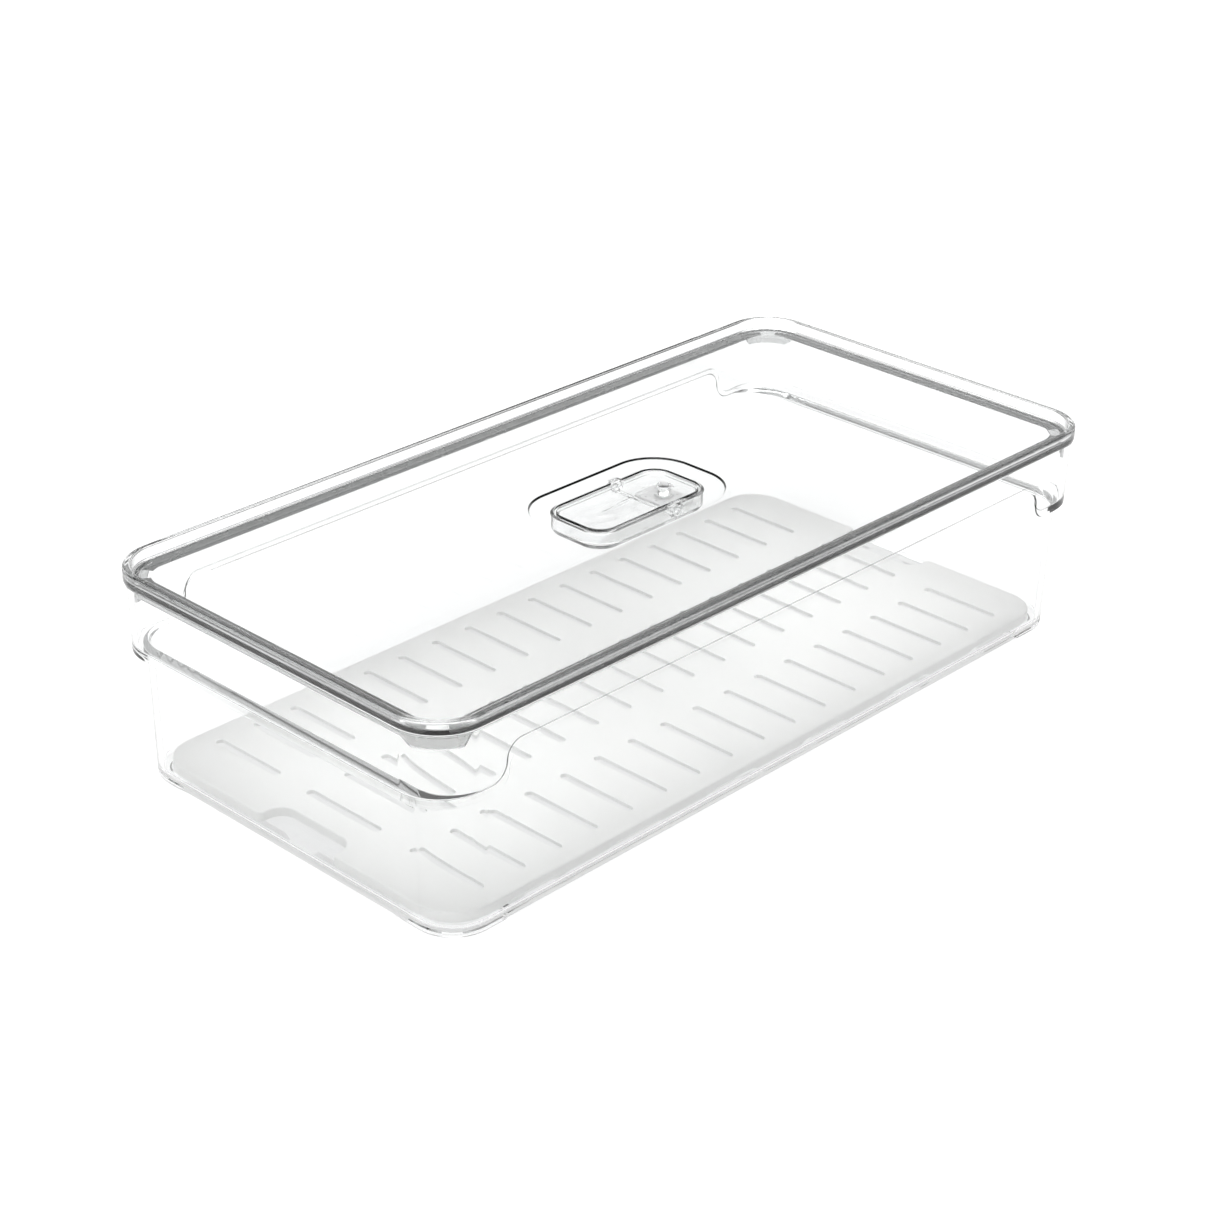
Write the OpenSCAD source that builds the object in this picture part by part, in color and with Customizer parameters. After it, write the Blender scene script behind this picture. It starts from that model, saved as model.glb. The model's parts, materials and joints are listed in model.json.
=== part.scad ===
// Clear fridge storage bin with a lift-off lid, a rocking vent cap in the lid
// and a slotted drain tray on the floor. Millimetres, +Z up.
// The origin is the middle of the bin's base, where it stands.

/* [Overall] */
// Length over the lid's rim, along X
rim_l = 375; // [340:1:420]
// Width over the lid's rim, along Y
rim_w = 181.5; // [170:0.5:220]
// Corner radius of the rim, seen from above
rim_r = 20.8; // [18:0.2:26]
// Height of the bin without its lid
bin_h = 85.2; // [80:0.2:120]
// Height of the lid's rim above the bin
lid_rim_h = 5.4; // [5:0.1:8]

/* [Bin] */
// Thickness of the bin's walls
wall = 2.2; // [1.8:0.1:2.6]
// Thickness of the bin's floor
floor_t = 2.4; // [2:0.1:3]
// How far the base stands in from the rim at each short end
base_in_x = 9.3; // [8:0.1:12]
// How far the base stands in from the rim at each long side
base_in_y = 3.5; // [3:0.1:4]
// Corner radius of the base
base_r = 17.2; // [14:0.2:20]
// How far the lower walls lean out over their height
low_draft = 1.5; // [0.8:0.1:1.6]
// How far the upper band stands in from the rim, just under the flange
band_in = 1.2; // [1:0.1:1.4]
// How far the upper band leans out over its height
band_draft = 0.6; // [0.3:0.1:0.8]
// Height of the shoulder round the short ends
end_step_z = 56; // [52:0.5:58]
// Height of the shoulder along the long sides
side_step_z = 70; // [66:0.5:72]
// Distance from the middle to where the shoulder changes height
step_x = 152; // [140:1:154]
// Length over which the shoulder changes height
step_run = 14; // [10:1:20]
// Height of the flange round the bin's mouth
flange_h = 1.2; // [1:0.1:2.5]
// Height of the four feet under the corners
foot_h = 0.6; // [0.4:0.1:1]
// Width of the feet, seen from below
foot_w = 6; // [4:0.5:9]
// How far the feet run along the walls from each corner
foot_long = 28; // [24:1:40]

/* [Lid] */
// Thickness of the lid's panel
panel_t = 2; // [1.6:0.1:2.4]
// Height of the panel's top above the bin's mouth
panel_rise = 0.8; // [0.6:0.1:1.6]
// Thickness of the raised rim at its top
rim_t = 3.1; // [2.2:0.1:3.4]
// How far the rim's inner face leans in down to the panel
rim_draft = 0.9; // [0.6:0.1:1.4]
// Thickness of the plug that locates the lid inside the bin
plug_t = 1.6; // [1.2:0.1:2]
// Gap between the plug and the bin's inner wall
plug_gap = 0.4; // [0.3:0.1:0.5]
// Depth of the plug below the bin's mouth across the short ends
plug_d = 4; // [3:0.1:5]
// Depth of the plug at the corners
lug_d = 7; // [5:0.5:9]

/* [Vent] */
// Length of the shallow dish round the vent
dish_l = 83; // [78:0.5:90]
// Width of the shallow dish
dish_w = 50.4; // [46:0.2:56]
// Corner radius of the dish
dish_r = 19.1; // [15:0.1:22]
// Depth of the shallow dish
dish_d = 0.7; // [0.4:0.1:0.9]
// Length of the vent cap
cap_l = 61.2; // [58:0.2:61.4]
// Width of the vent cap
cap_w = 28.6; // [27:0.2:28.8]
// Thickness of the vent cap's plate
cap_t = 1.8; // [1.5:0.1:2]
// Corner radius of the vent cap
cap_r = 8.2; // [7:0.1:9]
// Gap round the vent cap
cap_gap = 0.9; // [0.8:0.1:1.2]
// Depth of the well under the panel's underside
well_d = 8.2; // [8:0.1:9]
// Distance from the middle to the cap's pivot
pivot_x = 10; // [8:0.5:11]
// Radius of the cap's pivot pegs
peg_r = 1.4; // [1.2:0.05:1.5]
// Running clearance between a peg and its socket
peg_gap = 0.06; // [0.03:0.01:0.09]
// Number of slots through the floor of the well
vent_slots = 4; // [2:1:5]

/* [Drain tray] */
// Length of the tray
tray_l = 346; // [330:1:348]
// Width of the tray
tray_w = 164; // [160:1:166]
// Height of the tray's top above the bin's floor
tray_h = 4.1; // [3.8:0.1:8]
// Thickness of the tray's plate
tray_t = 1.8; // [1.4:0.1:2]
// Columns of slots along the tray
slot_cols = 17; // [9:2:17]
// Distance between columns of slots
slot_pitch = 18.7; // [16:0.1:18.8]
// Width of a slot
slot_w = 3.8; // [3:0.1:5]
// Length of a slot in the two outer rows
outer_slot = 36.4; // [30:0.2:38]
// Length of a slot in the middle row
middle_slot = 40; // [30:1:44]
// Distance from the middle to an outer row's middle
row_y = 55.2; // [54:0.2:58]
// Width of the finger cut-out in each end of the tray
grip_w = 40; // [30:1:50]
// Depth of the finger cut-out
grip_d = 11; // [8:0.5:12]

/* [Hidden] */
$fn = 64;
eps = 0.01;
over = 5;
total_h = bin_h + lid_rim_h;
base_l = rim_l - 2 * base_in_x;
base_w = rim_w - 2 * base_in_y;
band_z = end_step_z - over;
band_h = bin_h - band_z;
band_l = rim_l - 2 * (band_in + band_draft);
band_w = rim_w - 2 * (band_in + band_draft);
band_r = rim_r - band_in - band_draft;
step_slope = 3;
flange_in = 0.3;
flange_edge = 0.4;
mouth_in = band_in + wall;
panel_z = bin_h + panel_rise;
under_z = panel_z - panel_t;
crest = 0.5;
plug_in = mouth_in + plug_gap;
lug_reach = 21;
cap_top = panel_z - dish_d + 0.1;
cap_skirt = 1.2;
cap_rim = 1.2;
pivot_z = cap_top - cap_t - cap_skirt;
well_wall = 1.4;
well_draft = 0.4;
well_r = cap_r + cap_gap - well_draft;
well_l = cap_l + 2 * (cap_gap - well_draft);
well_w = cap_w + 2 * (cap_gap - well_draft);
well_z = under_z - well_d;
well_floor = 1.5;
well_round = 2.4;
sole_z = well_z + well_floor;
boss_r = 3.2;
boss_out = 1.6;
peg_out = 2.2;
foot_x = 21;
pad_l = 15;
pad_w = 21;
pad_r = 3;
pad_t = 1.3;
pad_gap = 0.05;
stem_r = 2.6;
collar_t = 1.2;
slot_across = 1.6;
slot_long = 13;
slot_step = 3;
tray_z = floor_t + foot_h;
tray_top = tray_z + tray_h;
tray_r = 16;
tray_skirt = 2;
gap_w = 26;
gap_h = 1.2;
gap_n = 6;
gap_pitch = 54;
grip_r = 7;

clear = [0.93, 0.96, 0.97, 0.35];

// rounded rectangle, l by w with corner radius r
module plate(l, w, r) {
  square([l - 2 * r, w], center = true);
  square([l, w - 2 * r], center = true);
  for (sx = [-1, 1], sy = [-1, 1])
    translate([sx * (l / 2 - r), sy * (w / 2 - r)]) circle(r);
}

// block on a rounded rectangle whose sides lean out by lean over its height h
module leaning(l, w, r, h, lean = 0) {
  for (sx = [-1, 1], sy = [-1, 1])
    translate([sx * (l / 2 - r), sy * (w / 2 - r), 0]) cylinder(h = h, r1 = r, r2 = r + lean);
  rotate([90, 0, 0]) linear_extrude(w - 2 * r, center = true)
    polygon([[-l / 2, 0], [l / 2, 0], [l / 2 + lean, h], [-l / 2 - lean, h]]);
  rotate([90, 0, 90]) linear_extrude(l - 2 * r, center = true)
    polygon([[-w / 2, 0], [w / 2, 0], [w / 2 + lean, h], [-w / 2 - lean, h]]);
}

// step from 0 to 1 made of two quarter circles
function two_arcs(t) = t < 0.5
  ? (1 - sqrt(1 - 4 * pow(max(0, t), 2))) / 2
  : (1 + sqrt(1 - 4 * pow(max(0, 1 - t), 2))) / 2;

// height of the shoulder at a distance x from the middle
function shoulder(x) = side_step_z
  - (side_step_z - end_step_z) * two_arcs((abs(x) - step_x + step_run / 2) / step_run);

// everything above the shoulder, raised by lift
module above_shoulder(lift) {
  n = 20;
  run = [for (i = [0:n]) step_x - step_run / 2 + step_run * i / n];
  right = [for (x = run) [x, shoulder(x) + lift]];
  left = [for (i = [n:-1:0]) [-run[i], shoulder(run[i]) + lift]];
  ends = [[base_l / 2, end_step_z + lift - step_slope / 2], [rim_l / 2, end_step_z + lift + step_slope / 2]];
  ends_left = [for (i = [1:-1:0]) [-ends[i].x, ends[i].y]];
  rotate([90, 0, 0]) linear_extrude(rim_w, center = true)
    polygon(concat(ends_left, left, right, ends, [[rim_l / 2, total_h], [-rim_l / 2, total_h]]));
}

module lower_body(inset, z) {
  translate([0, 0, z])
    leaning(base_l - 2 * inset, base_w - 2 * inset, base_r - inset, side_step_z + over - z, low_draft);
}

module upper_body(inset, h) {
  translate([0, 0, band_z])
    leaning(band_l - 2 * inset, band_w - 2 * inset, band_r - inset, h, band_draft);
}

module flange() {
  l = rim_l - 2 * (flange_in + flange_edge);
  w = rim_w - 2 * (flange_in + flange_edge);
  r = rim_r - flange_in - flange_edge;
  translate([0, 0, bin_h - flange_h]) leaning(l, w, r, flange_edge, flange_edge);
  translate([0, 0, bin_h - flange_h + flange_edge])
    leaning(l + 2 * flange_edge, w + 2 * flange_edge, r + flange_edge, flange_h - flange_edge);
}

// what is cut away under the base, leaving a foot at each corner
module base_relief() {
  translate([0, 0, -eps]) linear_extrude(foot_h + eps) {
    square([base_l - 2 * foot_long, base_w + over], center = true);
    square([base_l + over, base_w - 2 * foot_long], center = true);
    plate(base_l - 2 * foot_w, base_w - 2 * foot_w, base_r - foot_w);
  }
}

module bin() {
  color(clear) difference() {
    union() {
      lower_body(0, 0);
      intersection() {
        upper_body(0, band_h);
        above_shoulder(0);
      }
      flange();
    }
    lower_body(wall, tray_z);
    intersection() {
      upper_body(wall, band_h + eps);
      above_shoulder(wall);
    }
    base_relief();
  }
}

// the panel's edge and the raised rim, as one block
module lid_block() {
  translate([0, 0, bin_h]) leaning(rim_l, rim_w, rim_r, lid_rim_h - crest);
  translate([0, 0, total_h - crest]) leaning(rim_l, rim_w, rim_r, crest, -crest);
}

// ring of the plug's thickness, reaching down to a depth below the bin's mouth
module plug_ring(depth) {
  translate([0, 0, bin_h - depth]) linear_extrude(depth + under_z - bin_h + eps) difference() {
    plate(rim_l - 2 * plug_in, rim_w - 2 * plug_in, rim_r - plug_in);
    plate(rim_l - 2 * (plug_in + plug_t), rim_w - 2 * (plug_in + plug_t), rim_r - plug_in - plug_t);
  }
}

// a rib across each short end, and a deeper lug round each corner
module plug() {
  for (sx = [-1, 1]) {
    intersection() {
      plug_ring(plug_d);
      translate([sx * (rim_l - lug_reach) / 2, 0, bin_h])
        cube([lug_reach, rim_w - lug_reach, 3 * plug_d], center = true);
    }
    for (sy = [-1, 1]) intersection() {
      plug_ring(lug_d);
      translate([sx * (rim_l - lug_reach) / 2, sy * (rim_w - lug_reach) / 2, bin_h])
        cube([lug_reach, lug_reach, 3 * lug_d], center = true);
    }
  }
}

module well_outside() {
  l = well_l + 2 * well_wall;
  w = well_w + 2 * well_wall;
  r = well_r + well_wall;
  translate([0, 0, well_z])
    leaning(l - 2 * well_round, w - 2 * well_round, r - well_round, well_round, well_round);
  translate([0, 0, well_z + well_round]) leaning(l, w, r, well_d - well_round + panel_t / 2);
  for (s = [-1, 1])
    translate([pivot_x, s * (w / 2 - eps), pivot_z]) rotate([-90 * s, 0, 0]) cylinder(h = boss_out, r = boss_r);
}

module well_inside() {
  translate([0, 0, sole_z]) leaning(well_l, well_w, well_r, panel_z - sole_z, well_draft);
  translate([0, 0, panel_z - dish_d]) linear_extrude(over) plate(dish_l, dish_w, dish_r);
  translate([pivot_x, 0, pivot_z]) rotate([90, 0, 0])
    cylinder(h = cap_w + 2 * (peg_out + peg_gap), r = peg_r + peg_gap, center = true);
  for (i = [0:vent_slots - 1])
    translate([foot_x + (i - (vent_slots - 1) / 2) * slot_step, 0, well_z - eps])
      linear_extrude(well_floor + 2 * eps) plate(slot_across, slot_long, slot_across / 2 - eps);
}

module lid() {
  color(clear) difference() {
    union() {
      difference() {
        lid_block();
        translate([0, 0, panel_z]) leaning(rim_l - 2 * (rim_t + rim_draft), rim_w - 2 * (rim_t + rim_draft),
          rim_r - rim_t - rim_draft, total_h - panel_z + eps, rim_draft);
      }
      translate([0, 0, under_z]) linear_extrude(bin_h - under_z + eps)
        plate(rim_l - 2 * plug_in, rim_w - 2 * plug_in, rim_r - plug_in);
      plug();
      well_outside();
    }
    well_inside();
  }
}

module vent_cap() {
  color(clear) {
    translate([0, 0, cap_top - cap_t]) linear_extrude(cap_t) plate(cap_l, cap_w, cap_r);
    translate([0, 0, cap_top - cap_t - cap_skirt]) linear_extrude(cap_skirt + eps) difference() {
      plate(cap_l, cap_w, cap_r);
      plate(cap_l - 2 * cap_rim, cap_w - 2 * cap_rim, cap_r - cap_rim);
    }
    for (s = [-1, 1])
      translate([pivot_x, s * (cap_w / 2 - cap_rim), pivot_z]) rotate([-90 * s, 0, 0])
        cylinder(h = cap_rim + peg_out, r = peg_r);
    translate([foot_x, 0, sole_z + pad_gap + pad_t])
      cylinder(h = cap_top - cap_t - sole_z - pad_gap - pad_t + eps, r = stem_r);
  }
}

module vent_seal() {
  color("whitesmoke") translate([foot_x, 0, sole_z + pad_gap]) {
    linear_extrude(pad_t) plate(pad_l, pad_w, pad_r);
    linear_extrude(2 * pad_t) difference() {
      circle(stem_r + collar_t);
      circle(stem_r);
    }
  }
}

module slot_row(y, len) {
  for (i = [0:slot_cols - 1])
    translate([(i - (slot_cols - 1) / 2) * slot_pitch, y]) plate(slot_w, len, slot_w / 2 - eps);
}

module drain_tray() {
  color("white") translate([0, 0, tray_z]) difference() {
    union() {
      translate([0, 0, tray_h - tray_t]) linear_extrude(tray_t) plate(tray_l, tray_w, tray_r);
      linear_extrude(tray_h - tray_t + eps) difference() {
        plate(tray_l, tray_w, tray_r);
        plate(tray_l - 2 * tray_skirt, tray_w - 2 * tray_skirt, tray_r - tray_skirt);
      }
      for (s = [-1, 1]) translate([s * (tray_l / 2 - grip_d), 0, 0])
        linear_extrude(tray_h - tray_t + eps)
          square([2 * grip_r, grip_w + 2 * tray_skirt], center = true);
    }
    translate([0, 0, -eps]) linear_extrude(tray_h + 2 * eps) {
      slot_row(-row_y, outer_slot);
      slot_row(0, middle_slot);
      slot_row(row_y, outer_slot);
      for (s = [-1, 1]) translate([s * tray_l / 2, 0]) plate(2 * grip_d, grip_w, grip_r);
    }
    for (i = [0:gap_n - 1])
      translate([(i - (gap_n - 1) / 2) * gap_pitch, 0, gap_h / 2 - eps])
        cube([gap_w, tray_w + over, gap_h], center = true);
  }
}

bin();
lid();
vent_cap();
vent_seal();
drain_tray();
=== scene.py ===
# A clear fridge bin: a bin, a lift-off lid with a rocking vent cap, and a slotted drain tray.
import json
import math

import bmesh
import bpy
from mathutils import Matrix, Vector


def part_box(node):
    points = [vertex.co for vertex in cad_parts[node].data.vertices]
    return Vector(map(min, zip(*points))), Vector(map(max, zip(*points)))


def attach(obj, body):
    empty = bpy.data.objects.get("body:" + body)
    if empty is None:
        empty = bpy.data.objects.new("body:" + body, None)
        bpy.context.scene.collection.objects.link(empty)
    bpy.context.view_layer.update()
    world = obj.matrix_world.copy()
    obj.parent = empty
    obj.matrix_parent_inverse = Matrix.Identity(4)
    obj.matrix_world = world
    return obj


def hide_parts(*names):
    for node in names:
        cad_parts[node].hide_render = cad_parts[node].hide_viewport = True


MM = 0.001

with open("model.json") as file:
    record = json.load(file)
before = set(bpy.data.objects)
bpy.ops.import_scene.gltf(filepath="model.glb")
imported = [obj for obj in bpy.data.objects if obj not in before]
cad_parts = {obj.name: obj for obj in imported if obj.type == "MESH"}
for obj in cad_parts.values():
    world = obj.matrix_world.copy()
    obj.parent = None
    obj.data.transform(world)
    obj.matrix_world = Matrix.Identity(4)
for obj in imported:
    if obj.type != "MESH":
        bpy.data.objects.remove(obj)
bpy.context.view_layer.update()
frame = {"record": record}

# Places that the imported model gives
LID_LOW, LID_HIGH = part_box("lid")
BIN_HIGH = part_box("bin")[1]
CAP_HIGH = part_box("vent_cap")[1]
SEAL_LOW, SEAL_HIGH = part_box("vent_seal")
TRAY_LOW, TRAY_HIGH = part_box("drain_tray")
JOINTS = {joint["name"]: joint for joint in frame["record"]["behaviour"]["joints"]}

# Rim, shared by the bin's mouth and the lid
RIM = (LID_HIGH.x, LID_HIGH.y, 20.8 * MM)
MOUTH_Z = BIN_HIGH.z
TOP_Z = LID_HIGH.z

# Bin
WALL = 2.2 * MM
BASE = (RIM[0] - 9.3 * MM, RIM[1] - 3.5 * MM, 17.2 * MM)
FOOT_H = 0.6 * MM
FOOT_W = 6 * MM
FOOT_LONG = 28 * MM
FOOT_RAMP = 1.5 * MM
BASE_EDGE = 1.8 * MM
INNER_Z = 3 * MM
BAND_IN = 1.2 * MM
BAND_DRAFT = 0.6 / 34.2
LOW_DRAFT = 1.5 / 75
FLANGE_H = 1.2 * MM
FLANGE_IN = 0.3 * MM
# An air gap under the lid, so that light is not passed straight from one solid to the other
SEAM = 0.1 * MM
END_STEP_Z = 56 * MM
SIDE_STEP_Z = 70 * MM
STEP_X = 152 * MM
STEP_RUN = 14 * MM
STEP_SLANT = 0.45
LEDGE_T = 2.6 * MM

# Lid
PANEL_Z = MOUTH_Z + 0.8 * MM
UNDER_Z = PANEL_Z - 2 * MM
PLUG_IN = 3.8 * MM
PLUG_T = 1.6 * MM
PLUG_D = 4 * MM
LUG_D = 7 * MM
LUG_SLANT = math.radians(14)
RIM_T = 3.1 * MM
RIM_DRAFT = 0.9 * MM
RIM_FILLET = 0.8 * MM
CREST_OUT = 1.25 * MM
CREST_IN = 0.9 * MM

# Vent
DISH = (41.5 * MM, 25.2 * MM, 19.1 * MM)
DISH_Z = PANEL_Z - 0.7 * MM
WELL_IN = 10 * MM
WELL_OUT = 9 * MM
WELL_DRAFT = 0.4 * MM
WELL_Z = LID_LOW.z
SOLE_Z = WELL_Z + 1.5 * MM
WELL_ROUND = 3.2 * MM
PIVOT = Vector(JOINTS["vent_rock"]["pos_m"])
PEG_R = 1.4 * MM
SOCKET_R = 1.46 * MM
BOSS_R = 3.2 * MM
BOSS_OUT = 1.6 * MM
SLOTS_X = 21 * MM
VENT_SLOT_COUNT = 4
VENT_SLOT_PITCH = 3 * MM
VENT_SLOT_HALF = 6.5 * MM
VENT_SLOT_R = 0.8 * MM
CAP = (CAP_HIGH.x, 14.3 * MM, 8.2 * MM)
CAP_Z = CAP_HIGH.z
CAP_T = 1.8 * MM
CAP_SKIRT_Z = CAP_Z - 3 * MM
CAP_RIM = 1.2 * MM
SCOOP_X = -13 * MM
SCOOP = (12 * MM, 10.5 * MM)
SCOOP_D = 0.8 * MM
STEM_R = 2.6 * MM
PAD = (7.5 * MM, 10.5 * MM, 3 * MM)
PAD_T = 1.3 * MM
COLLAR_T = 1.2 * MM

# Drain tray
TRAY = (TRAY_HIGH.x, TRAY_HIGH.y, 16 * MM)
TRAY_T = 1.8 * MM
TRAY_SKIRT = 2 * MM
TRAY_EDGE = 1.2 * MM
SLOT_EDGE = 0.35 * MM
SLOT_W = 3.8 * MM
SLOT_PITCH = 18.7 * MM
SLOT_COLUMNS = 17
SLOT_ROWS = ((-55.2 * MM, 36.4 * MM), (0, 40 * MM), (55.2 * MM, 36.4 * MM))
GRIP_W = 40 * MM
GRIP_D = 11 * MM
GRIP_R = 7 * MM
GAP_W = 26 * MM
GAP_H = 1.2 * MM
GAP_PITCH = 54 * MM
GAP_COUNT = 6

# Clear plastic: the painted shade that darkens its colour edge-on, and how deep its tone goes through its
# thickness, both matched to the photograph
PAINTED_EDGE_SHADE_FROM = 0.62
PAINTED_EDGE_SHADE = 0.2
DEPTH_DENSITY = 20
# Guesses that stand in for finishes which the photograph does not settle, and the plug's darker colour, which
# is painted shade
PLUG_ROUGHNESS = (0.22, 0.3)
PLUG_PAINTED_SHADE = 0.62
FROST_ROUGHNESS = (0.3, 0.4)
FROST = 0.8

# Studio, brightness by direction, matched to the photograph
WORLD_HORIZON = 0.36
WORLD_RING = 0.06
WORLD_TOP = 1.0
WORLD_STRENGTH = 3.55
# Each softbox: its direction, its soft edge (cosines of the outer and inner angle) and its brightness
SOFTBOXES = (
    ((0.648, 0.61, 0.455), (0.85, 0.94), 0.17),
    ((-0.9, -0.3, 0.3), (0.5, 0.9), 0.3),
)
FLOOR_GLOW = 0.9

# Camera, fitted to the outline in the photograph
CAMERA_AZIMUTH = math.radians(-46.708)
CAMERA_ELEVATION = math.radians(27.058)
CAMERA_ROLL = math.radians(1.050)
CAMERA_DISTANCE = 1.0966
CAMERA_ACROSS = -0.00683
CAMERA_UP = 0.03356
CAMERA_LENS = 79.85
CAMERA_SENSOR = 36


# ---------------------------------------------------------------- outlines and sections

def turned(before, corner, after, radius, steps):
    """Points and outward normals round one corner of a path that runs anticlockwise."""
    into = (corner - before).normalized()
    out = (after - corner).normalized()
    turn = math.atan2(into.x * out.y - into.y * out.x, into.dot(out))
    cut = radius * math.tan(abs(turn) / 2)
    side = 1 if turn > 0 else -1
    normal = Vector((into.y, -into.x))
    centre = corner - into * cut - normal * radius * side
    stations = []
    for i in range(steps + 1):
        spun = Matrix.Rotation(turn * i / steps, 2) @ normal
        stations.append((centre + spun * radius * side, spun))
    return stations


def path(corners, steps, pitch):
    """Stations (point, outward normal) along a closed outline whose corners are (x, y, radius)."""
    points = [Vector(c[:2]) for c in corners]
    count = len(corners)
    arcs = [turned(points[i - 1], points[i], points[(i + 1) % count], corners[i][2], steps)
            for i in range(count)]
    stations = []
    for i, arc in enumerate(arcs):
        stations += arc
        start, normal = arc[-1]
        end = arcs[(i + 1) % count][0][0]
        stations += between(start, end, normal, pitch)
    return stations


def between(start, end, normal, pitch):
    """Stations along one straight stretch. The pitch is a length, or a function that gives one."""
    along = (end - start).normalized()
    length = (end - start).length
    found = []
    done = 0
    while True:
        here = start + along * done
        step = pitch(here, normal) if callable(pitch) else pitch
        done += step
        if done > length - step * 0.6:
            return found
        found.append((start + along * done, normal))


def rectangle(size, steps=16, pitch=8 * MM):
    """Stations round a rounded rectangle of half length, half width and corner radius."""
    x, y, r = size
    return path([(x, -y, r), (x, y, r), (-x, y, r), (-x, -y, r)], steps, pitch)


def matched(stations, size, small):
    """Stations round a smaller rounded rectangle, one for each station of a larger one."""
    x, y, r = small
    straight = 0.999999
    found = []
    for point, normal in stations:
        if abs(normal.x) > straight:
            place = Vector((math.copysign(x, normal.x), point.y * (y - r) / (size[1] - size[2])))
        elif abs(normal.y) > straight:
            place = Vector((point.x * (x - r) / (size[0] - size[2]), math.copysign(y, normal.y)))
        else:
            corner = Vector((math.copysign(x - r, normal.x), math.copysign(y - r, normal.y)))
            place = corner + normal * r
        found.append((place, normal))
    return found


def reach(point, normal, size, inset):
    """Distance inwards from a station to a rounded rectangle that stands in by inset."""
    x, y, r = (value - inset for value in size)
    done = 0
    for _ in range(24):
        here = point - normal * done
        over_x = abs(here.x) - (x - r)
        over_y = abs(here.y) - (y - r)
        outside = math.hypot(max(over_x, 0), max(over_y, 0))
        done += outside + min(max(over_x, over_y), 0) - r
    return done


def rounded(corners, steps=4):
    """A section whose corners (inset, height, radius) become arcs. Its two ends stay as they are."""
    points = [Vector(c[:2]) for c in corners]
    found = [points[0]]
    for i in range(1, len(corners) - 1):
        into = points[i] - points[i - 1]
        out = points[i + 1] - points[i]
        radius = corners[i][2]
        room = 0.49 * min(into.length, out.length)
        into.normalize()
        out.normalize()
        turn = math.atan2(into.x * out.y - into.y * out.x, into.dot(out))
        half = math.tan(abs(turn) / 2)
        cut = min(radius * half, room)
        radius = cut / half if half > 1e-6 else 0
        side = 1 if turn > 0 else -1
        normal = Vector((into.y, -into.x)) * side
        centre = points[i] - into * cut - normal * radius
        for k in range(steps + 1):
            found.append(centre + Matrix.Rotation(turn * k / steps, 2) @ normal * radius)
    found.append(points[-1])
    return found


# ---------------------------------------------------------------- meshes

def ring(mesh, stations, inset, height):
    """A closed loop of vertices at one inset and height from an outline."""
    return [mesh.verts.new((*(p - n * inset), height)) for p, n in stations]


def sweep(mesh, stations, section):
    """Loops of vertices, one for each point of the section that each station has."""
    sections = [section(p, n) for p, n in stations]
    loops = []
    for k in range(len(sections[0])):
        loop = []
        for (p, n), points in zip(stations, sections):
            inset, height = points[k]
            loop.append(mesh.verts.new((*(p - n * inset), height)))
        loops.append(loop)
    return loops


def skin(mesh, loops):
    """Quads between each loop and the next."""
    for low, high in zip(loops, loops[1:]):
        count = len(low)
        for i in range(count):
            j = (i + 1) % count
            mesh.faces.new((low[i], low[j], high[j], high[i]))


def new_object(mesh, name):
    """An object in the scene that holds the finished mesh."""
    data = bpy.data.meshes.new(name)
    mesh.to_mesh(data)
    mesh.free()
    piece = bpy.data.objects.new(name, data)
    bpy.context.scene.collection.objects.link(piece)
    return piece


def shown(mesh, name, materials, frosted=None):
    """A visible piece. The faces for which frosted is true take the second material."""
    bmesh.ops.recalc_face_normals(mesh, faces=mesh.faces)
    if frosted:
        for face in mesh.faces:
            face.material_index = int(frosted(face.calc_center_median(), face.normal))
    piece = new_object(mesh, name)
    for material in materials:
        piece.data.materials.append(material)
    return piece


def even_shading(piece):
    """Shading that keeps the flat faces flat and the rounded edges smooth."""
    for face in piece.data.polygons:
        face.use_smooth = True
    shading = piece.modifiers.new("even_shading", "WEIGHTED_NORMAL")
    shading.mode = "FACE_AREA"
    shading.weight = 60


def applied(piece, other, operation):
    """The piece after a boolean with another object, which goes."""
    change = piece.modifiers.new("boolean", "BOOLEAN")
    change.operation = operation
    change.solver = "EXACT"
    change.object = other
    bpy.context.view_layer.update()
    graph = bpy.context.evaluated_depsgraph_get()
    data = bpy.data.meshes.new_from_object(piece.evaluated_get(graph))
    piece.modifiers.remove(change)
    piece.data = data
    bpy.data.objects.remove(other)


def tool(mesh, name):
    """A closed form for a boolean to add or cut away."""
    bmesh.ops.recalc_face_normals(mesh, faces=mesh.faces)
    return new_object(mesh, name)


def prism(name, stations, low, high, lean=0):
    """A block on an outline. Its sides lean out by lean over its height."""
    mesh = bmesh.new()
    loops = [ring(mesh, stations, 0, low), ring(mesh, stations, -lean, high)]
    skin(mesh, loops)
    mesh.faces.new(loops[0])
    mesh.faces.new(loops[-1])
    return tool(mesh, name)


def rod(name, centre, radius, reach_y, edge=0.0, steps=40):
    """A round bar along Y through a point, with its ends rounded off."""
    mesh = bmesh.new()
    loops = []
    sides = [
        (-reach_y, radius - edge),
        (-reach_y + edge, radius),
        (reach_y - edge, radius),
        (reach_y, radius - edge),
    ]
    for y, r in sides:
        loop = []
        for i in range(steps):
            angle = 2 * math.pi * i / steps
            loop.append(mesh.verts.new(centre + Vector((r * math.cos(angle), y, r * math.sin(angle)))))
        loops.append(loop)
    skin(mesh, loops)
    mesh.faces.new(loops[0])
    mesh.faces.new(loops[-1])
    return tool(mesh, name)


# ---------------------------------------------------------------- bin

def ease(t):
    """A smooth step from 0 to 1."""
    return (1 - math.cos(math.pi * min(1, max(0, t)))) / 2


def two_arcs(t):
    """A step from 0 to 1 made of two quarter circles."""
    t = min(1, max(0, t))
    if t < 0.5:
        return (1 - math.sqrt(1 - 4 * t * t)) / 2
    return (1 + math.sqrt(1 - 4 * (1 - t) ** 2)) / 2


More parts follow.
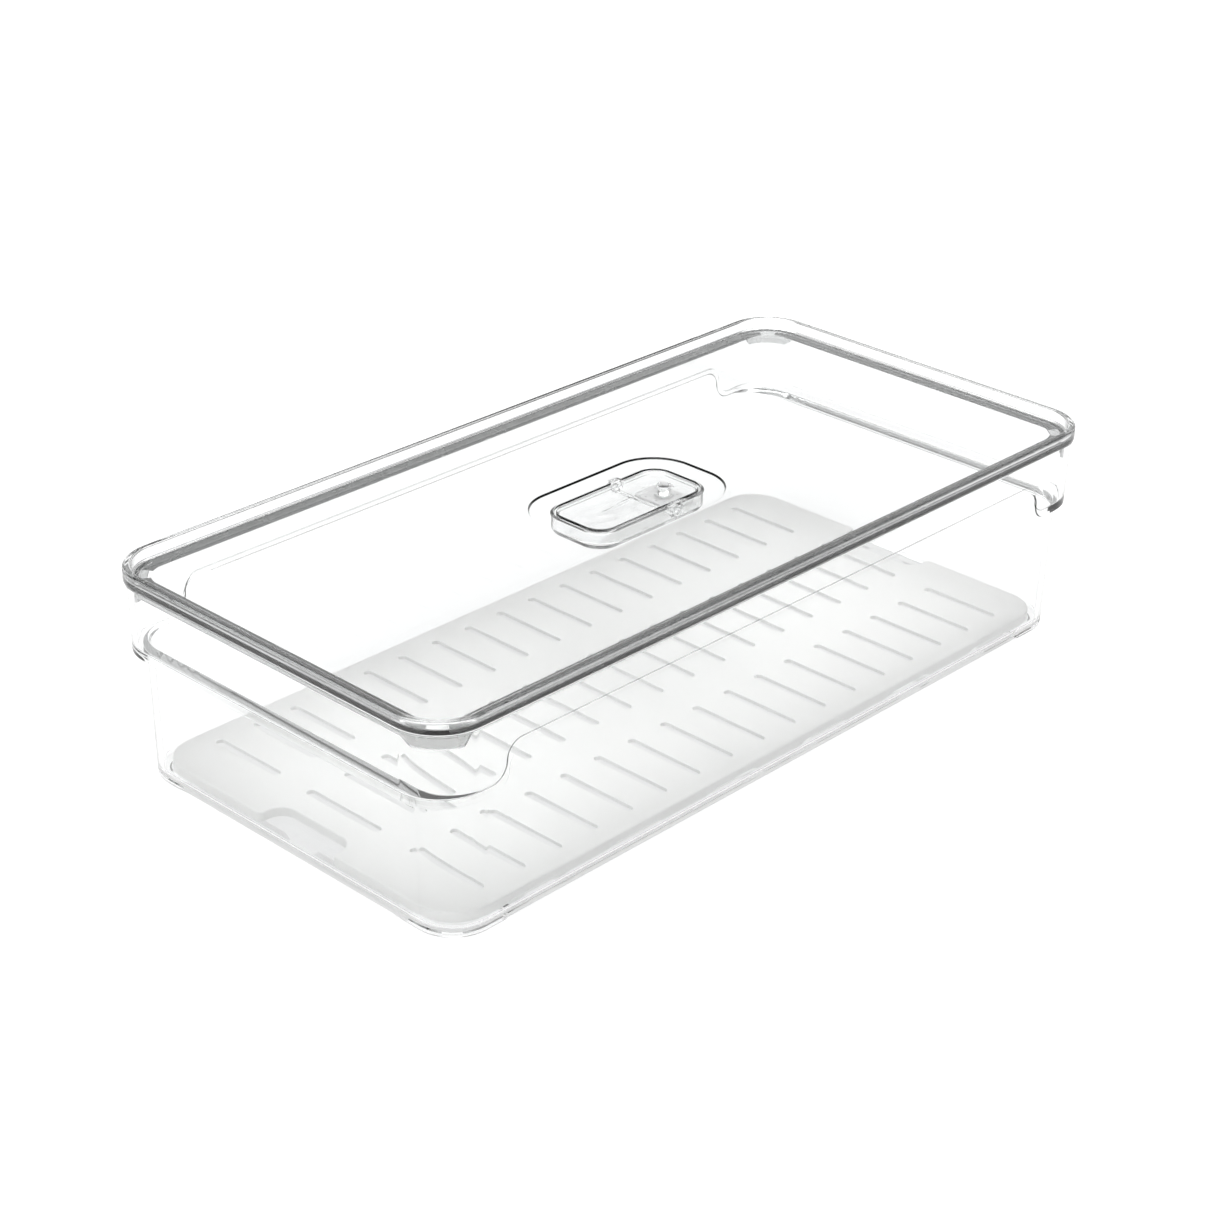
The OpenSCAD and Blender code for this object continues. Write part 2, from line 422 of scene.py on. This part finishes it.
def shoulder(x):
    """Height of the shoulder at a distance x from the middle."""
    t = (abs(x) - STEP_X + STEP_RUN / 2) / STEP_RUN
    return SIDE_STEP_Z - (SIDE_STEP_Z - END_STEP_Z) * two_arcs(t)


def bin_pitch(point, normal):
    """Distance between stations: short where the shoulder changes height and near the corners."""
    away = abs(abs(point.x) - STEP_X)
    if abs(normal.y) < 0.5 or abs(point.x) < STEP_X - STEP_RUN:
        return 6 * MM
    return 0.1 * MM + 0.09 * min(away, 6 * MM)


def foot(point):
    """Height of the underside's edge: it comes down to a foot at each corner."""
    past_x = abs(point.x) - (BASE[0] - FOOT_LONG)
    past_y = abs(point.y) - (BASE[1] - FOOT_LONG)
    return FOOT_H * (1 - ease(min(past_x, past_y) / FOOT_RAMP))


def band(z):
    """Inset of the upper band's outer face at a height."""
    return BAND_IN + BAND_DRAFT * (MOUTH_Z - z)


def bin_section(point, normal):
    """From the underside out round the foot, up the outer wall, over the mouth and down the inner wall."""
    outer = reach(point, normal, BASE, 0)
    inner = reach(point, normal, BASE, WALL)
    step = shoulder(point.x if abs(normal.y) > 0.5 or abs(point.x) < STEP_X else STEP_X + STEP_RUN)
    under = foot(point)
    drop = STEP_SLANT * (outer - step * LOW_DRAFT - band(step))
    over = step + LEDGE_T
    side = min(1, max(0, (outer - 4 * MM) / (3 * MM)))
    flange_z = MOUTH_Z - FLANGE_H
    edge = 0.5 * MM
    mouth_z = MOUTH_Z - SEAM
    return rounded([
        (outer + FOOT_W + 3 * MM, FOOT_H, 0),
        (outer + FOOT_W + 0.8 * MM, FOOT_H, 0.3 * MM),
        (outer + FOOT_W, under, 0.3 * MM),
        (outer, under, BASE_EDGE),
        (outer - (step - drop) * LOW_DRAFT, step - drop, (0.25 + 0.6 * side) * MM),
        (band(step), step, (0.3 + 0.8 * side) * MM),
        (band(flange_z), flange_z, 0.3 * MM),
        (FLANGE_IN + edge, flange_z, 0.2 * MM),
        (FLANGE_IN, flange_z + edge, 0.3 * MM),
        (FLANGE_IN, mouth_z, 0.2 * MM),
        (BAND_IN + WALL, mouth_z, 0.4 * MM),
        (band(over) + WALL, over, (0.5 + 0.6 * side) * MM),
        (inner - over * LOW_DRAFT, over, (0.5 + 0.4 * side) * MM),
        (inner, INNER_Z, 2.4 * MM),
        (inner + 5 * MM, INNER_Z, 0),
    ])


def under_base(centre, normal):
    """True on the underside of the bin, which is left matt."""
    return centre.z < FOOT_H + 0.05 * MM and normal.z < -0.9


def make_bin(materials):
    mesh = bmesh.new()
    stations = rectangle(RIM, steps=32, pitch=bin_pitch)
    loops = sweep(mesh, stations, bin_section)
    skin(mesh, loops)
    mesh.faces.new(loops[0])
    mesh.faces.new(loops[-1])
    piece = shown(mesh, "clear_bin", materials, under_base)
    even_shading(piece)
    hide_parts("bin")
    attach(piece, "bin")


# ---------------------------------------------------------------- lid

def lug(normal):
    """Depth of the plug under the bin's mouth: a rib across each end and a deeper lug round each corner."""
    turn = math.atan2(abs(normal.y), abs(normal.x))
    from_side = min(1, (math.pi / 2 - turn) / LUG_SLANT)
    from_end = min(1, turn / LUG_SLANT)
    return max((PLUG_D + (LUG_D - PLUG_D) * from_end) * from_side, MOUTH_Z - UNDER_Z + 0.05 * MM)


def rim_section(point, normal):
    """From the panel's underside out over the plug and up round the raised rim."""
    plug_z = MOUTH_Z - lug(normal)
    return rounded([
        (PLUG_IN + PLUG_T + 5 * MM, UNDER_Z, 0),
        (PLUG_IN + PLUG_T, UNDER_Z, 0.5 * MM),
        (PLUG_IN + PLUG_T, plug_z, 0.4 * MM),
        (PLUG_IN, plug_z, 0.4 * MM),
        (PLUG_IN, MOUTH_Z, 0.2 * MM),
        (0, MOUTH_Z, 0.3 * MM),
        (0, TOP_Z, CREST_OUT),
        (RIM_T, TOP_Z, CREST_IN),
        (RIM_T + RIM_DRAFT, PANEL_Z, RIM_FILLET),
        (PLUG_IN + PLUG_T + 5 * MM, PANEL_Z, 0),
    ])


def dish_section(point, normal):
    """From the panel's top down into the dish and the well."""
    return rounded([
        (-3 * MM, PANEL_Z, 0),
        (0, PANEL_Z, 0.3 * MM),
        (0.5 * MM, DISH_Z, 0.3 * MM),
        (WELL_IN, DISH_Z, 0.4 * MM),
        (WELL_IN + WELL_DRAFT, SOLE_Z, 1.8 * MM),
        (WELL_IN + WELL_DRAFT + 3 * MM, SOLE_Z, 0),
    ], steps=5)


def well_section(point, normal):
    """From the panel's underside down the outside of the well."""
    return rounded([
        (WELL_OUT - 3 * MM, UNDER_Z, 0),
        (WELL_OUT, UNDER_Z, 0.5 * MM),
        (WELL_OUT, WELL_Z, WELL_ROUND),
        (WELL_OUT + 5 * MM, WELL_Z, 0),
    ], steps=6)


def cut_vent_slots(piece):
    """Four slots through the well's sole, under the seal."""
    half = VENT_SLOT_HALF
    wide = VENT_SLOT_R
    r = wide * 0.99
    for i in range(VENT_SLOT_COUNT):
        x = SLOTS_X + (i - (VENT_SLOT_COUNT - 1) / 2) * VENT_SLOT_PITCH
        corners = [(x + wide, -half, r), (x + wide, half, r), (x - wide, half, r), (x - wide, -half, r)]
        slot = prism("vent_slot", path(corners, 6, 4 * MM), WELL_Z - 1 * MM, SOLE_Z + 1 * MM)
        applied(piece, slot, "DIFFERENCE")


def make_boss():
    """The block round the cap's pivot, inside and outside the well's walls, below the dish."""
    boss = rod("boss", PIVOT, BOSS_R, DISH[1] - WELL_OUT + BOSS_OUT, 0.4 * MM)
    above = prism("above_boss", rectangle((30 * MM, 30 * MM, 1 * MM)), DISH_Z - 0.3 * MM, TOP_Z)
    applied(boss, above, "DIFFERENCE")
    return boss


def well_hollow():
    """The space inside the well, just clear of its leaning walls."""
    low = SOLE_Z + 2.2 * MM
    lean = WELL_DRAFT * (DISH_Z - low) / (DISH_Z - SOLE_Z)
    inset = WELL_IN + lean + 0.02 * MM
    size = (DISH[0] - inset, DISH[1] - inset, DISH[2] - inset)
    return prism("well_hollow", rectangle(size, 24, 4 * MM), low, DISH_Z + 0.1 * MM, lean)


def on_plug(centre, normal):
    """True on the plug below the bin's mouth, which is left matt and darkened with painted shade."""
    outside = max(abs(centre.x) - RIM[0], abs(centre.y) - RIM[1])
    return centre.z < MOUTH_Z - 0.1 * MM and outside > -10 * MM


def make_lid(materials):
    mesh = bmesh.new()
    stations = rectangle(RIM, steps=24, pitch=8 * MM)
    dish = matched(stations, RIM, DISH)
    rim = sweep(mesh, stations, rim_section)
    top = sweep(mesh, dish, dish_section)
    under = sweep(mesh, dish, well_section)
    skin(mesh, under[::-1] + rim + top)
    mesh.faces.new(under[-1])
    mesh.faces.new(top[-1])
    piece = shown(mesh, "clear_lid", materials, on_plug)
    applied(piece, make_boss(), "UNION")
    applied(piece, well_hollow(), "DIFFERENCE")
    applied(piece, rod("socket", PIVOT, SOCKET_R, CAP[1] + 1.1 * MM), "DIFFERENCE")
    cut_vent_slots(piece)
    even_shading(piece)
    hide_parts("lid")
    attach(piece, "lid")


# ---------------------------------------------------------------- vent cap and seal

def scoop(x, y):
    """Depth of the thumb scoop in the cap's pressed half."""
    away = math.hypot((x - SCOOP_X) / SCOOP[0], y / SCOOP[1])
    return SCOOP_D * (1 - ease(away))


def crown(mesh, stations, height, insets, dip, spine):
    """Loops that run in from an edge to the middle line, following the scoop."""
    loops = []
    for inset in insets:
        loops.append([mesh.verts.new((*(p - n * inset), height - dip(p.x - n.x * inset, p.y - n.y * inset)))
                      for p, n in stations])
    start = [Vector((v.co.x, v.co.y)) for v in loops[-1]]
    for share in (0.2, 0.4, 0.6, 0.8, 0.97):
        loop = []
        for point in start:
            target = Vector((min(spine, max(-spine, point.x)), 0))
            here = point.lerp(target, share)
            loop.append(mesh.verts.new((here.x, here.y, height - dip(here.x, here.y))))
        loops.append(loop)
    return loops


def cap_section(point, normal):
    """From the cap's underside down its skirt and up round its edge."""
    return rounded([
        (CAP_RIM + 0.3 * MM, CAP_Z - CAP_T, 0),
        (CAP_RIM, CAP_Z - CAP_T, 0.1 * MM),
        (CAP_RIM, CAP_SKIRT_Z, 0.3 * MM),
        (0, CAP_SKIRT_Z, 0.3 * MM),
        (0, CAP_Z, 0.9 * MM),
        (1.4 * MM, CAP_Z, 0),
    ])


def make_cap(material):
    mesh = bmesh.new()
    stations = rectangle(CAP, steps=14, pitch=1.6 * MM)
    insets = [value * MM for value in (1.6, 2.6, 3.6, 4.6, 5.6, 6.6, 7.6)]
    spine = CAP[0] - CAP[1]
    top = crown(mesh, stations, CAP_Z, insets, scoop, spine)
    under = crown(mesh, stations, CAP_Z - CAP_T, insets, scoop, spine)
    side = sweep(mesh, stations, cap_section)
    skin(mesh, under[::-1] + side + top)
    mesh.faces.new(top[-1])
    mesh.faces.new(under[-1])
    piece = shown(mesh, "clear_vent_cap", [material])
    for s in (-1, 1):
        middle = Vector((PIVOT.x, s * (CAP[1] + 0.5 * MM), PIVOT.z))
        applied(piece, rod("peg", middle, PEG_R, 1.7 * MM, 0.3 * MM), "UNION")
    stem = prism("stem", circle(STEM_R), SEAL_LOW.z + PAD_T, CAP_Z - CAP_T + 0.3 * MM)
    applied(piece, stem, "UNION")
    even_shading(piece)
    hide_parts("vent_cap")
    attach(piece, "vent")


def circle(radius):
    """Stations round a circle about the stem that presses the seal down."""
    count = 32
    stations = []
    for i in range(count):
        angle = 2 * math.pi * i / count
        normal = Vector((math.cos(angle), math.sin(angle)))
        stations.append((Vector((SLOTS_X, 0)) + normal * radius, normal))
    return stations


def pad_section(point, normal):
    """From the pad's underside up round its rounded edge."""
    low = SEAL_LOW.z
    return rounded([
        (1.2 * MM, low, 0),
        (0.4 * MM, low, 0.2 * MM),
        (0, low + PAD_T / 2, 0.5 * MM),
        (0.4 * MM, low + PAD_T, 0.2 * MM),
        (1.2 * MM, low + PAD_T, 0),
    ])


def collar_section(point, normal):
    """From the pad up the outside of the collar and down its bore."""
    low = SEAL_LOW.z
    high = SEAL_HIGH.z
    return rounded([
        (0, low + PAD_T, 0),
        (0, high, 0.4 * MM),
        (COLLAR_T, high, 0.3 * MM),
        (COLLAR_T, low + PAD_T, 0),
    ])


def make_seal(material):
    """A pad over the vent slots, with a collar that grips the cap's stem."""
    mesh = bmesh.new()
    x, y, r = PAD
    corners = [(SLOTS_X + x, -y, r), (SLOTS_X + x, y, r), (SLOTS_X - x, y, r), (SLOTS_X - x, -y, r)]
    outline = path(corners, 8, 3 * MM)
    loops = sweep(mesh, outline, pad_section)
    skin(mesh, loops)
    mesh.faces.new(loops[0])
    grip = sweep(mesh, circle(STEM_R + COLLAR_T), collar_section)
    skin(mesh, grip)
    edges = loop_edges(mesh, loops[-1]) + loop_edges(mesh, grip[0])
    bmesh.ops.triangle_fill(mesh, edges=edges, use_beauty=True, normal=(0, 0, 1))
    mesh.faces.new(grip[-1])
    piece = shown(mesh, "silicone_seal", [material])
    even_shading(piece)
    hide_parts("vent_seal")
    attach(piece, "vent")


# ---------------------------------------------------------------- drain tray

def tray_outline():
    """Stations round the tray, with a finger cut-out in the middle of each end."""
    x, y, r = TRAY
    half = GRIP_W / 2
    deep = x - GRIP_D
    lip = 2.5 * MM
    corners = []
    for s in (1, -1):
        corners += [(s * x, -s * y, r), (s * x, -s * half, lip), (s * deep, -s * half, GRIP_R)]
        corners += [(s * deep, s * half, GRIP_R), (s * x, s * half, lip), (s * x, s * y, r)]
    return path(corners, 12, 3 * MM)


def drain_gap(point, normal):
    """Height of a gap under the skirt along the tray's long sides."""
    if abs(normal.y) < 0.99 or abs(point.y) < TRAY[1] - 1 * MM:
        return 0
    middle = (round(point.x / GAP_PITCH - 0.5) + 0.5) * GAP_PITCH
    if abs(middle) > GAP_PITCH * GAP_COUNT / 2:
        return 0
    return GAP_H * (1 - ease((abs(point.x - middle) - GAP_W / 2 + 2 * MM) / (3 * MM)))


def tray_section(point, normal):
    """From the plate's underside down the skirt and up round its edge."""
    under = TRAY_HIGH.z - TRAY_T
    low = TRAY_LOW.z + drain_gap(point, normal)
    return rounded([
        (TRAY_SKIRT + 0.8 * MM, under, 0),
        (TRAY_SKIRT, under, 0.3 * MM),
        (TRAY_SKIRT - 0.3 * MM, low, 0.3 * MM),
        (0, low, 0.4 * MM),
        (0, TRAY_HIGH.z, TRAY_EDGE),
        (TRAY_EDGE + 0.2 * MM, TRAY_HIGH.z, 0),
    ])


def slot_stations():
    """Outlines of all the slots, as hollows, so their normals point into the plate."""
    for row_y, length in SLOT_ROWS:
        for i in range(SLOT_COLUMNS):
            x = (i - (SLOT_COLUMNS - 1) / 2) * SLOT_PITCH
            wide = SLOT_W / 2
            half = length / 2
            r = wide * 0.98
            yield path([(x + wide, row_y - half, r), (x + wide, row_y + half, r),
                        (x - wide, row_y + half, r), (x - wide, row_y - half, r)], 6, 6 * MM)


def slot_section(point, normal):
    """A slot's wall from the underside up, with its edges rounded off."""
    under = TRAY_HIGH.z - TRAY_T
    return rounded([
        (-SLOT_EDGE * 3.2, under, 0),
        (0, under, SLOT_EDGE * 3),
        (0, TRAY_HIGH.z, SLOT_EDGE),
        (-SLOT_EDGE * 1.2, TRAY_HIGH.z, 0),
    ], steps=3)


def loop_edges(mesh, loop):
    """The edges of a closed loop of vertices."""
    return [mesh.edges.get((loop[i - 1], loop[i])) for i in range(len(loop))]


def make_tray(material):
    mesh = bmesh.new()
    border = sweep(mesh, tray_outline(), tray_section)
    skin(mesh, border)
    below = loop_edges(mesh, border[0])
    above = loop_edges(mesh, border[-1])
    for stations in slot_stations():
        loops = sweep(mesh, stations, slot_section)
        skin(mesh, loops)
        below += loop_edges(mesh, loops[0])
        above += loop_edges(mesh, loops[-1])
    bmesh.ops.triangle_fill(mesh, edges=below, use_beauty=True, normal=(0, 0, -1))
    bmesh.ops.triangle_fill(mesh, edges=above, use_beauty=True, normal=(0, 0, 1))
    piece = shown(mesh, "slotted_tray", [material])
    even_shading(piece)
    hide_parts("drain_tray")
    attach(piece, "tray")


# ---------------------------------------------------------------- materials

def new_material(name):
    material = bpy.data.materials.new(name)
    material.use_nodes = True
    tree = material.node_tree
    tree.nodes.clear()
    return material, tree


def surface_out(tree, shader):
    """The material's output, with the shader on its surface."""
    out = tree.nodes.new("ShaderNodeOutputMaterial")
    tree.links.new(shader.outputs[0], out.inputs["Surface"])
    return out


def noise(tree, scale, detail):
    """A cloudy pattern fixed to the object."""
    place = tree.nodes.new("ShaderNodeTexCoord")
    pattern = tree.nodes.new("ShaderNodeTexNoise")
    pattern.inputs["Scale"].default_value = scale
    pattern.inputs["Detail"].default_value = detail
    tree.links.new(place.outputs["Object"], pattern.inputs["Vector"])
    return pattern.outputs["Fac"]


def between_values(tree, source, low, high):
    """The pattern spread from low to high."""
    spread = tree.nodes.new("ShaderNodeMapRange")
    spread.inputs["From Min"].default_value = 0.3
    spread.inputs["From Max"].default_value = 0.7
    spread.inputs["To Min"].default_value = low
    spread.inputs["To Max"].default_value = high
    tree.links.new(source, spread.inputs["Value"])
    return spread.outputs["Result"]


def between_colours(tree, source, low, high):
    """The pattern as a colour from low to high."""
    mix = tree.nodes.new("ShaderNodeMix")
    mix.data_type = "RGBA"
    mix.inputs["A"].default_value = (*low, 1)
    mix.inputs["B"].default_value = (*high, 1)
    tree.links.new(source, mix.inputs["Factor"])
    return mix.outputs["Result"]


def bumped(tree, shader, source, strength, distance):
    """The pattern as fine relief on the shader's surface."""
    bump = tree.nodes.new("ShaderNodeBump")
    bump.inputs["Strength"].default_value = strength
    bump.inputs["Distance"].default_value = distance
    tree.links.new(source, bump.inputs["Height"])
    tree.links.new(bump.outputs["Normal"], shader.inputs["Normal"])


def clear_plastic(name, ior=1.5, roughness=(0.0, 0.02), tone=0.99):
    """Crystal-clear moulded plastic, with painted shade that darkens its colour where it is seen edge-on."""
    material, tree = new_material(name)
    shader = tree.nodes.new("ShaderNodeBsdfPrincipled")
    shader.inputs["Transmission Weight"].default_value = 1
    shader.inputs["IOR"].default_value = ior
    cloud = between_colours(tree, noise(tree, 9, 3), (tone - 0.01, tone, tone), (tone + 0.01,) * 3)
    # Painted shade: the base colour is darkened where the surface is seen edge-on, to draw dark outlines
    facing = tree.nodes.new("ShaderNodeLayerWeight")
    edge = tree.nodes.new("ShaderNodeMapRange")
    edge.inputs["From Min"].default_value = PAINTED_EDGE_SHADE_FROM
    tree.links.new(facing.outputs["Facing"], edge.inputs["Value"])
    painted_edge_darkening = tree.nodes.new("ShaderNodeMix")
    painted_edge_darkening.data_type = "RGBA"
    painted_edge_darkening.inputs["B"].default_value = (*[PAINTED_EDGE_SHADE] * 3, 1)
    tree.links.new(edge.outputs["Result"], painted_edge_darkening.inputs["Factor"])
    tree.links.new(cloud, painted_edge_darkening.inputs["A"])
    tree.links.new(painted_edge_darkening.outputs["Result"], shader.inputs["Base Color"])
    tree.links.new(between_values(tree, noise(tree, 60, 4), *roughness), shader.inputs["Roughness"])
    bumped(tree, shader, noise(tree, 22, 2), 0.08, 0.0004)
    depth = tree.nodes.new("ShaderNodeVolumeAbsorption")
    depth.inputs["Color"].default_value = (0.5, 0.51, 0.51, 1)
    depth.inputs["Density"].default_value = DEPTH_DENSITY
    out = surface_out(tree, shader)
    tree.links.new(depth.outputs[0], out.inputs["Volume"])
    return material


def frosted_underside():
    """The bin's spark-eroded underside, which scatters the light from the table."""
    material = clear_plastic("frosted_underside", roughness=FROST_ROUGHNESS)
    tree = material.node_tree
    out = next(node for node in tree.nodes if node.type == "OUTPUT_MATERIAL")
    clear = out.inputs["Surface"].links[0].from_socket
    scatter = tree.nodes.new("ShaderNodeBsdfTranslucent")
    tree.links.new(between_colours(tree, noise(tree, 40, 3), (0.86, 0.86, 0.86), (0.9, 0.9, 0.9)),
                   scatter.inputs["Color"])
    blend = tree.nodes.new("ShaderNodeMixShader")
    blend.inputs["Fac"].default_value = FROST
    tree.links.new(clear, blend.inputs[1])
    tree.links.new(scatter.outputs[0], blend.inputs[2])
    tree.links.new(blend.outputs[0], out.inputs["Surface"])
    return material


def white_plastic():
    """Satin white moulded plastic with a fine spark-eroded grain."""
    material, tree = new_material("satin_white")
    shader = tree.nodes.new("ShaderNodeBsdfPrincipled")
    shader.inputs["IOR"].default_value = 1.46
    cloud = between_colours(tree, noise(tree, 14, 3), (0.89, 0.89, 0.88), (0.92, 0.92, 0.91))
    tree.links.new(cloud, shader.inputs["Base Color"])
    tree.links.new(between_values(tree, noise(tree, 400, 4), 0.42, 0.55), shader.inputs["Roughness"])
    bumped(tree, shader, noise(tree, 2500, 3), 0.12, 0.0001)
    surface_out(tree, shader)
    return material


def silicone():
    """Soft translucent silicone."""
    material, tree = new_material("silicone")
    shader = tree.nodes.new("ShaderNodeBsdfPrincipled")
    shader.inputs["Transmission Weight"].default_value = 0.35
    shader.inputs["IOR"].default_value = 1.41
    cloud = between_colours(tree, noise(tree, 120, 3), (0.95, 0.95, 0.95), (0.98, 0.98, 0.98))
    tree.links.new(cloud, shader.inputs["Base Color"])
    tree.links.new(between_values(tree, noise(tree, 600, 3), 0.25, 0.4), shader.inputs["Roughness"])
    bumped(tree, shader, noise(tree, 900, 3), 0.1, 0.0001)
    surface_out(tree, shader)
    return material


def light_table():
    """A white table, evenly lit from within."""
    material, tree = new_material("white_table")
    shader = tree.nodes.new("ShaderNodeBsdfPrincipled")
    shader.inputs["Roughness"].default_value = 1
    shader.inputs["Specular IOR Level"].default_value = 0
    shader.inputs["Emission Color"].default_value = (1, 1, 1, 1)
    shader.inputs["Emission Strength"].default_value = FLOOR_GLOW
    tree.links.new(between_colours(tree, noise(tree, 3, 2), (0.20, 0.20, 0.20), (0.21, 0.21, 0.21)),
                   shader.inputs["Base Color"])
    surface_out(tree, shader)
    return material


# ---------------------------------------------------------------- studio

def make_floor():
    mesh = bmesh.new()
    bmesh.ops.create_grid(mesh, x_segments=2, y_segments=2, size=20)
    floor = new_object(mesh, "floor")
    floor.data.materials.append(light_table())


def softbox(tree, place, direction, outer, inner, brightness):
    """The brightness that one soft-edged lobe of light adds in each direction."""
    toward = tree.nodes.new("ShaderNodeVectorMath")
    toward.operation = "DOT_PRODUCT"
    toward.inputs[1].default_value = direction
    tree.links.new(place.outputs["Generated"], toward.inputs[0])
    edge = tree.nodes.new("ShaderNodeMapRange")
    edge.interpolation_type = "SMOOTHSTEP"
    edge.inputs["From Min"].default_value = outer
    edge.inputs["From Max"].default_value = inner
    edge.inputs["To Max"].default_value = brightness
    tree.links.new(toward.outputs["Value"], edge.inputs["Value"])
    return edge.outputs["Result"]


def make_world():
    """A pale horizon, a white top, a darker ring between them, and the softboxes."""
    world = bpy.data.worlds.new("studio")
    bpy.context.scene.world = world
    world.use_nodes = True
    tree = world.node_tree
    place = tree.nodes.new("ShaderNodeTexCoord")
    split = tree.nodes.new("ShaderNodeSeparateXYZ")
    ramp = tree.nodes.new("ShaderNodeValToRGB")
    tree.links.new(place.outputs["Generated"], split.inputs[0])
    tree.links.new(split.outputs["Z"], ramp.inputs["Fac"])
    stops = ramp.color_ramp.elements
    stops[0].position = 0.0
    stops[0].color = (*[WORLD_HORIZON] * 3, 1)
    stops[1].position = 1.0
    stops[1].color = (*[WORLD_TOP] * 3, 1)
    for position, value in ((0.14, WORLD_HORIZON), (0.28, WORLD_RING), (0.72, WORLD_RING), (0.86, WORLD_TOP)):
        stop = stops.new(position)
        stop.color = (value, value, value, 1)
    total = ramp.outputs["Color"]
    for direction, (outer, inner), brightness in SOFTBOXES:
        add = tree.nodes.new("ShaderNodeMath")
        add.operation = "ADD"
        tree.links.new(total, add.inputs[0])
        tree.links.new(softbox(tree, place, direction, outer, inner, brightness), add.inputs[1])
        total = add.outputs["Value"]
    tree.links.new(total, tree.nodes["Background"].inputs["Color"])
    tree.nodes["Background"].inputs["Strength"].default_value = WORLD_STRENGTH


def make_camera():
    """The photograph's camera, from its back, right and up directions, a roll and a small shift."""
    back = Vector((
        math.sin(CAMERA_AZIMUTH) * math.cos(CAMERA_ELEVATION),
        -math.cos(CAMERA_AZIMUTH) * math.cos(CAMERA_ELEVATION),
        math.sin(CAMERA_ELEVATION),
    ))
    right = Vector((math.cos(CAMERA_AZIMUTH), math.sin(CAMERA_AZIMUTH), 0))
    up = back.cross(right)
    along = right * math.cos(CAMERA_ROLL) + up * math.sin(CAMERA_ROLL)
    above = up * math.cos(CAMERA_ROLL) - right * math.sin(CAMERA_ROLL)
    place = back * CAMERA_DISTANCE + along * CAMERA_ACROSS + above * CAMERA_UP
    turn = Matrix((along, above, back)).transposed().to_4x4()
    data = bpy.data.cameras.new("camera")
    data.lens = CAMERA_LENS
    data.sensor_width = CAMERA_SENSOR
    camera = bpy.data.objects.new("camera", data)
    camera.matrix_world = Matrix.Translation(place) @ turn
    bpy.context.scene.collection.objects.link(camera)
    bpy.context.scene.camera = camera


def set_light_paths():
    """Enough bounces for light that crosses several clear walls."""
    scene = bpy.context.scene
    scene.cycles.max_bounces = 24
    scene.cycles.transmission_bounces = 24
    scene.cycles.transparent_max_bounces = 24
    scene.cycles.glossy_bounces = 10
    scene.cycles.diffuse_bounces = 3
    scene.view_settings.view_transform = "Standard"


make_camera()
make_floor()
make_world()
set_light_paths()

make_bin([clear_plastic("clear_bin_plastic"), frosted_underside()])
make_lid([clear_plastic("clear_lid_plastic"),
          # The plug's material is matt, and its colour is darkened with painted shade
          clear_plastic("matt_plug_painted_shade", roughness=PLUG_ROUGHNESS, tone=PLUG_PAINTED_SHADE)])
make_cap(clear_plastic("clear_cap_plastic"))
make_seal(silicone())
make_tray(white_plastic())
